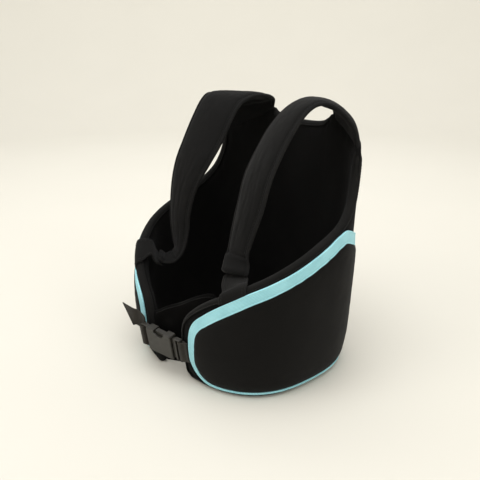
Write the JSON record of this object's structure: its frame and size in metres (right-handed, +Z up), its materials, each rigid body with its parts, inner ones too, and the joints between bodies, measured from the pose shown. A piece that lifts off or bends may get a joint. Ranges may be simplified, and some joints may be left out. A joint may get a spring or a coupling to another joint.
{
  "type": "karting rib protector",
  "caption": "Padded rib protector vest: a wrap-round body with contrast trim, padded shoulder straps on tabs, and a front clip buckle on webbing.",
  "frame": {"origin": "middle of the whole object in plan, on the plane that the base of the padded wall stands on", "axes": "+Z up, -Y towards the wearer's front, +X towards the wearer's left"},
  "size_m": [0.3238, 0.2802, 0.3567],
  "materials": {
    "shell_fabric": "matte black knit over foam",
    "panel_fabric": "matte black stretch fabric over foam",
    "trim_fabric": "pale aqua woven trim",
    "strap_fabric": "matte black padded knit",
    "tab_fabric": "black woven tab",
    "buckle_plastic": "moulded black plastic, fine texture",
    "webbing": "black woven webbing"
  },
  "bodies": {
    "root": {"body_wall": "shell_fabric", "rib_panel": "panel_fabric", "trim_band": "trim_fabric", "shoulder_strap_left": "strap_fabric", "shoulder_strap_right": "strap_fabric", "anchor_tab_left": "tab_fabric", "anchor_tab_right": "tab_fabric", "buckle_female": "buckle_plastic", "buckle_male": "buckle_plastic", "webbing_left": "webbing", "webbing_right": "webbing", "webbing_tail": "webbing"}
  },
  "joints": []
}
